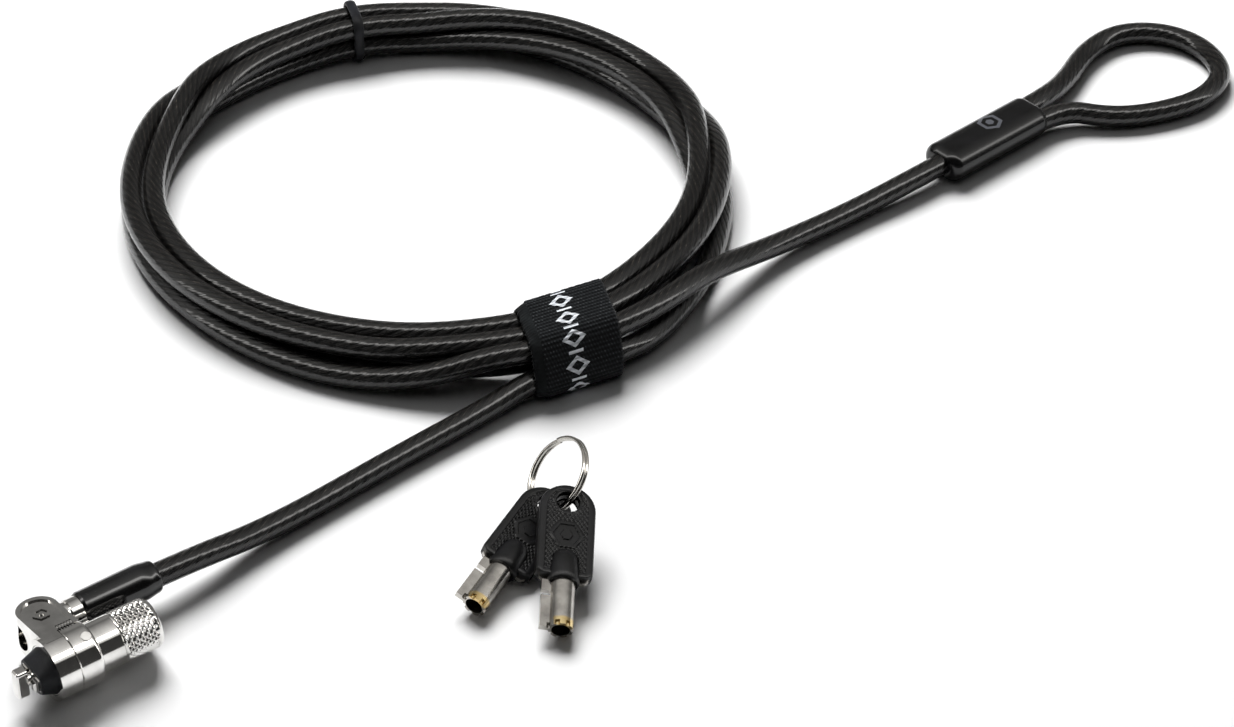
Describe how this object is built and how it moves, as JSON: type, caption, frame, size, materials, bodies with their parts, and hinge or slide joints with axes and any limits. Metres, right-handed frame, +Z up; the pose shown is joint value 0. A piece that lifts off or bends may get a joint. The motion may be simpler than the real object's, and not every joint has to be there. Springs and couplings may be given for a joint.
{
  "type": "laptop cable lock",
  "caption": "Cable lock for a laptop security slot: T-bar head with pivoting collar, coiled steel cable with end loop, strap and two tubular keys.",
  "frame": {"origin": "centre of the nose face, where the rubber pad meets the device around its security slot, on the barrel's axis", "axes": "+X along the barrel towards the keyway, away from the device; +Z up off the surface that the lock lies on; that surface is 7 mm below the origin"},
  "size_m": [0.371, 0.2271, 0.0187],
  "materials": {
    "chrome": "bright plated, polished",
    "nickel": "nickel plated, slightly worn",
    "steel": "plain turned",
    "brass": "turned",
    "aluminium": "swaged",
    "black_gloss": "glossy moulded vinyl",
    "black_plastic": "fine matt moulding",
    "black_rubber": "matt",
    "vinyl_cable": "glossy smoky clear coat over dark strands",
    "strap_fabric": "black hook-and-loop webbing with a pale grey woven pattern"
  },
  "bodies": {
    "cable": {"cable_coil": "vinyl_cable", "cable_lead": "vinyl_cable", "cable_tail": "vinyl_cable", "cable_loop": "vinyl_cable", "cable_core_end": "steel", "cable_boot": "black_gloss", "swivel_stud": "chrome", "swivel_washer": "steel", "strap": "strap_fabric", "tie_ring": "black_rubber", "loop_crimp": "aluminium", "loop_sleeve": "black_gloss"},
    "collar": {"cable_collar": "chrome", "collar_spring_washer": "steel"},
    "barrel": {"head_shell": "chrome", "retaining_pin": "chrome", "spindle_bush": "brass", "slot_guide": "chrome", "rubber_pad": "black_rubber", "pin_block": "brass", "driver_pins": "steel", "pin_springs": "steel", "core_housing": "brass", "keyway_ring": "chrome", "knurled_grip": "chrome"},
    "lock_plug": {"t_bar": "chrome", "key_plug": "brass"},
    "tumblers": {"tumbler_pins": "brass"},
    "ring": {"key_ring": "chrome"},
    "key_a": {"key_a_tube": "nickel", "key_a_plate": "nickel", "key_a_head": "black_plastic"},
    "key_b": {"key_b_tube": "nickel", "key_b_plate": "nickel", "key_b_head": "black_plastic"}
  },
  "joints": [
    {"name": "collar_swivel", "type": "hinge", "parent": "cable", "child": "collar", "pos_m": [0.0115, 0.012, 0], "axis": [1, 0, 0], "continuous": true},
    {"name": "barrel_turn", "type": "hinge", "parent": "collar", "child": "barrel", "pos_m": [0.0065, 0, 0], "axis": [1, 0, 0], "continuous": true},
    {"name": "key_turn", "type": "hinge", "parent": "barrel", "child": "lock_plug", "pos_m": [0.015, 0, 0], "axis": [1, 0, 0], "range_deg": [0, 90]},
    {"name": "tumbler_push", "type": "slide", "parent": "lock_plug", "child": "tumblers", "axis": [-1, 0, 0], "range_m": [0, 0.0012]},
    {"name": "key_set_lift", "type": "slide", "parent": "cable", "child": "ring", "axis": [0, 0, 1], "range_m": [0, 0.05]},
    {"name": "key_a_swing", "type": "hinge", "parent": "ring", "child": "key_a", "pos_m": [0.11822, -0.02594, 0.00361], "axis": [0.0196, -0.3198, 0.9473], "range_deg": [0, 40]},
    {"name": "key_b_swing", "type": "hinge", "parent": "ring", "child": "key_b", "pos_m": [0.11746, -0.0194, -0.00138], "axis": [0.0924, -0.388, 0.917], "range_deg": [-40, 0]}
  ]
}
